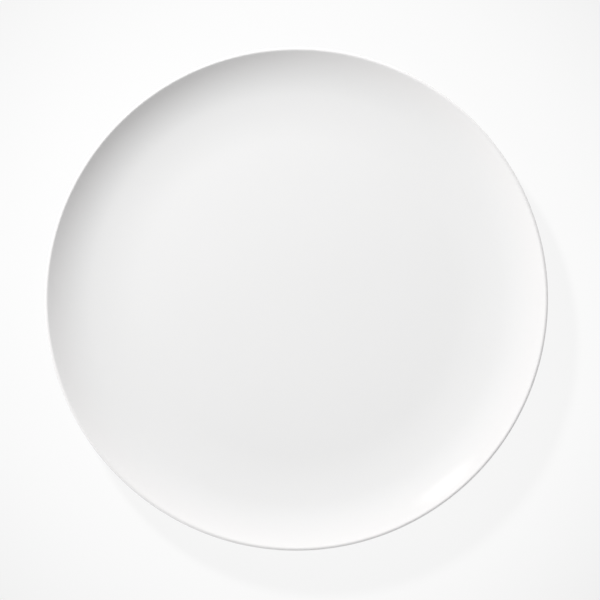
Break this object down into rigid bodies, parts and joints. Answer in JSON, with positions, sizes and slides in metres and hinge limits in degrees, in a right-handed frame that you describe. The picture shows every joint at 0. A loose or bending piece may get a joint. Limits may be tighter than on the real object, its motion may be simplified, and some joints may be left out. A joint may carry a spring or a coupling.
{
  "type": "coupe dinner plate",
  "caption": "Round dinner plate in white glazed porcelain: a level well sweeps up to a thin rounded lip with no separate rim, over a bare foot ring that stands on the table.",
  "frame": {"origin": "on the table, at the centre of the foot ring", "axes": "+Z is the plate's axis of revolution, upwards out of the face; X and Y are any two level directions"},
  "size_m": [0.27, 0.27, 0.02],
  "materials": {
    "bare_porcelain": "fired porcelain without glaze, polished on the land, matt and warm white",
    "white_glaze": "clear glossy glaze over white porcelain, neutral white"
  },
  "bodies": {
    "root": {"porcelain_body": "bare_porcelain", "outer_glaze": "white_glaze", "base_glaze": "white_glaze"}
  },
  "joints": []
}
